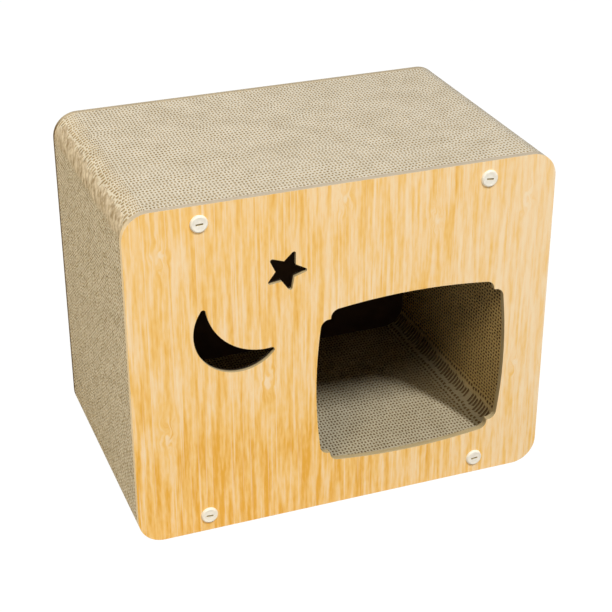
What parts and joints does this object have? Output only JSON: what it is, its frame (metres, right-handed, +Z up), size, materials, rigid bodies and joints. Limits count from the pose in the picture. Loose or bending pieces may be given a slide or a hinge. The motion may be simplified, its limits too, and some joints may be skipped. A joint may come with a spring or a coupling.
{
  "type": "cardboard cat house",
  "caption": "Box-shaped cat house of stacked corrugated board rings between two wood-look boards, with a shaped doorway and crescent and star cut-outs.",
  "frame": {"origin": "middle of the footprint, on the floor", "axes": "+X to the right and +Z up as one faces the doorway, +Y from the doorway to the back"},
  "size_m": [0.4, 0.2564, 0.325],
  "materials": {
    "corrugated_board": "natural brown paper, open flutes at every cut edge",
    "printed_board": "light wood grain printed on fibreboard, matt, with plain cut edges",
    "white_plastic": "moulded, slightly glossy"
  },
  "bodies": {
    "root": {"front_panel": "printed_board", "back_panel": "printed_board", "corrugated_block_01": "corrugated_board", "corrugated_block_02": "corrugated_board", "corrugated_block_03": "corrugated_board", "corrugated_block_04": "corrugated_board", "corrugated_block_05": "corrugated_board", "corrugated_block_06": "corrugated_board", "corrugated_block_07": "corrugated_board", "corrugated_block_08": "corrugated_board", "corrugated_block_09": "corrugated_board", "corrugated_block_10": "corrugated_board", "corrugated_block_11": "corrugated_board", "corrugated_block_12": "corrugated_board", "front_screw_bottom_left": "white_plastic", "front_screw_bottom_right": "white_plastic", "front_screw_top_left": "white_plastic", "front_screw_top_right": "white_plastic", "back_screw_bottom_left": "white_plastic", "back_screw_bottom_right": "white_plastic", "back_screw_top_left": "white_plastic", "back_screw_top_right": "white_plastic"}
  },
  "joints": []
}
